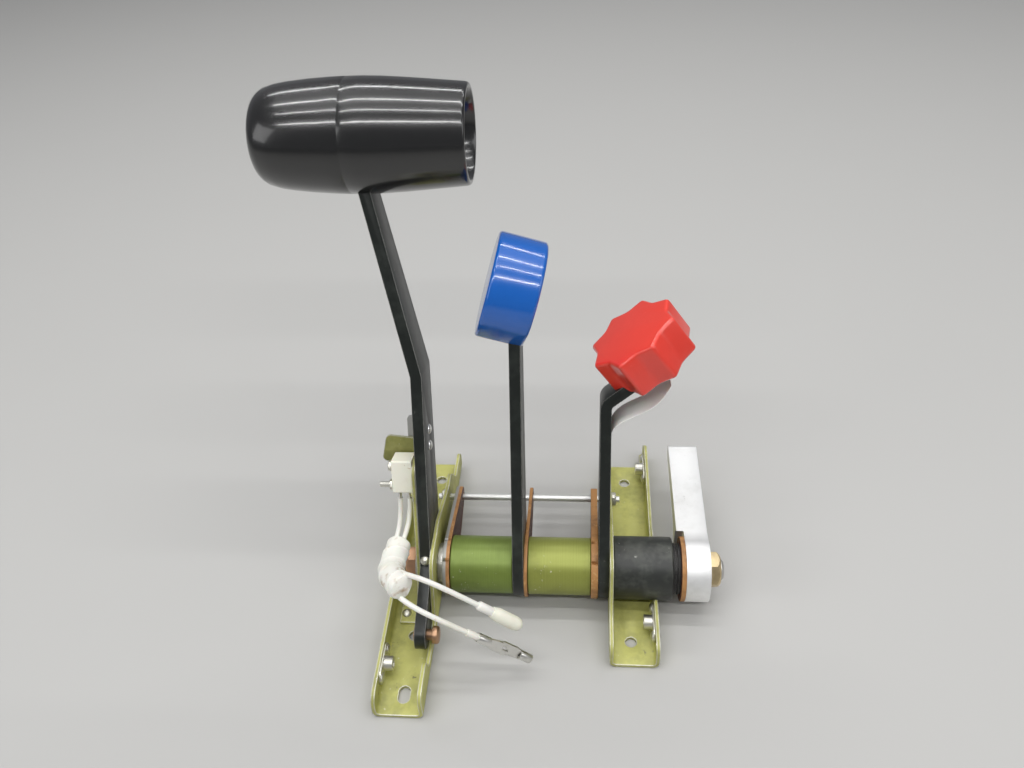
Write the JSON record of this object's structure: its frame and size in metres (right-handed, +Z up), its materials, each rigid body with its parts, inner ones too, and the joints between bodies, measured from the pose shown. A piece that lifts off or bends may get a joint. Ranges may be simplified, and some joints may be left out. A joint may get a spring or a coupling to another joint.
{
  "type": "throttle quadrant",
  "caption": "Aircraft throttle quadrant: throttle, propeller and mixture levers on a friction-clamped pivot shaft between channel brackets, with a closed-throttle switch.",
  "frame": {"origin": "centre of the four base mounting holes, on the underside of the bracket webs", "axes": "+X along the pivot shaft from the throttle to the friction lever, +Y away from the pilot, +Z up from the mounting face"},
  "size_m": [0.193, 0.155, 0.2167],
  "materials": {
    "zinc_green": "satin, chipped edges",
    "striker_olive": "satin",
    "cad_steel": "satin",
    "shaft_steel": "satin",
    "fibre_brown": "dull, lighter edges",
    "spacer_green": "satin, fine turning lines",
    "spacer_olive": "satin, fine turning lines",
    "tie_bright": "bright",
    "collar_black": "satin with scuffs",
    "spigot_dark": "dull",
    "cad_gold": "satin, yellow passivate",
    "copper_nut": "dull",
    "bare_aluminium": "satin",
    "switch_cream": "satin",
    "plunger_dark": "satin",
    "wire_white": "satin",
    "wrap_white": "matt lacing tape, stained",
    "splice_cream": "satin",
    "terminal_tin": "bright tin",
    "lever_black": "semi-gloss, worn edges",
    "grip_black": "gloss",
    "core_metal": "machined",
    "stud_bronze": "dull",
    "rivet_bright": "bright",
    "knob_blue": "gloss",
    "knob_red": "satin gloss",
    "tag_paper": "matt"
  },
  "bodies": {
    "frame": {"left_bracket": "zinc_green", "right_bracket": "zinc_green", "nutplates": "cad_steel", "nutplate_rivets": "cad_steel", "pivot_shaft": "shaft_steel", "thrust_washer": "shaft_steel", "left_plates": "fibre_brown", "middle_plate": "fibre_brown", "right_plates": "fibre_brown", "left_spacer": "spacer_green", "right_spacer": "spacer_olive", "tie_rod": "tie_bright", "tie_nuts": "cad_steel", "collar": "collar_black", "spigot": "spigot_dark", "fibre_washer": "fibre_brown", "friction_nut": "cad_gold", "journal_ring": "shaft_steel", "shaft_washer": "shaft_steel", "shaft_nut": "copper_nut", "switch_upright": "zinc_green", "upright_rivets": "cad_steel", "switch_case": "switch_cream", "switch_screws": "cad_steel", "switch_blades": "terminal_tin", "upper_wire": "wire_white", "lower_wire": "wire_white", "wire_wrap": "wrap_white", "wire_sleeves": "wire_white", "insulated_splice": "splice_cream", "knife_terminals": "terminal_tin"},
    "throttle": {"throttle_lever": "lever_black", "throttle_grip": "grip_black", "grip_core": "core_metal", "grip_pin": "cad_steel", "cable_stud": "stud_bronze", "hub_screw": "cad_steel", "striker": "striker_olive", "striker_rivets": "rivet_bright", "striker_strip": "fibre_brown"},
    "propeller": {"prop_lever": "lever_black", "prop_knob": "knob_blue", "prop_pin": "cad_steel"},
    "mixture": {"mixture_lever": "lever_black", "mixture_knob": "knob_red", "mixture_pin": "cad_steel", "lever_tag": "tag_paper"},
    "friction": {"friction_lever": "bare_aluminium"},
    "plunger": {"switch_plunger": "plunger_dark"}
  },
  "joints": [
    {"name": "throttle_swing", "type": "hinge", "parent": "frame", "child": "throttle", "pos_m": [0, -0.02, 0.018], "axis": [-1, 0, 0], "range_deg": [0, 45]},
    {"name": "propeller_swing", "type": "hinge", "parent": "frame", "child": "propeller", "pos_m": [0, -0.02, 0.018], "axis": [-1, 0, 0], "range_deg": [-8, 50]},
    {"name": "mixture_swing", "type": "hinge", "parent": "frame", "child": "mixture", "pos_m": [0, -0.02, 0.018], "axis": [-1, 0, 0], "range_deg": [-8, 50]},
    {"name": "friction_turn", "type": "hinge", "parent": "frame", "child": "friction", "pos_m": [0, -0.02, 0.018], "axis": [1, 0, 0], "range_deg": [-5, 90]},
    {"name": "plunger_press", "type": "slide", "parent": "frame", "child": "plunger", "axis": [0, -0.9397, 0.342], "range_m": [0, 0.0009], "stiffness_N_per_m": 400, "springref_m": -0.0004}
  ]
}
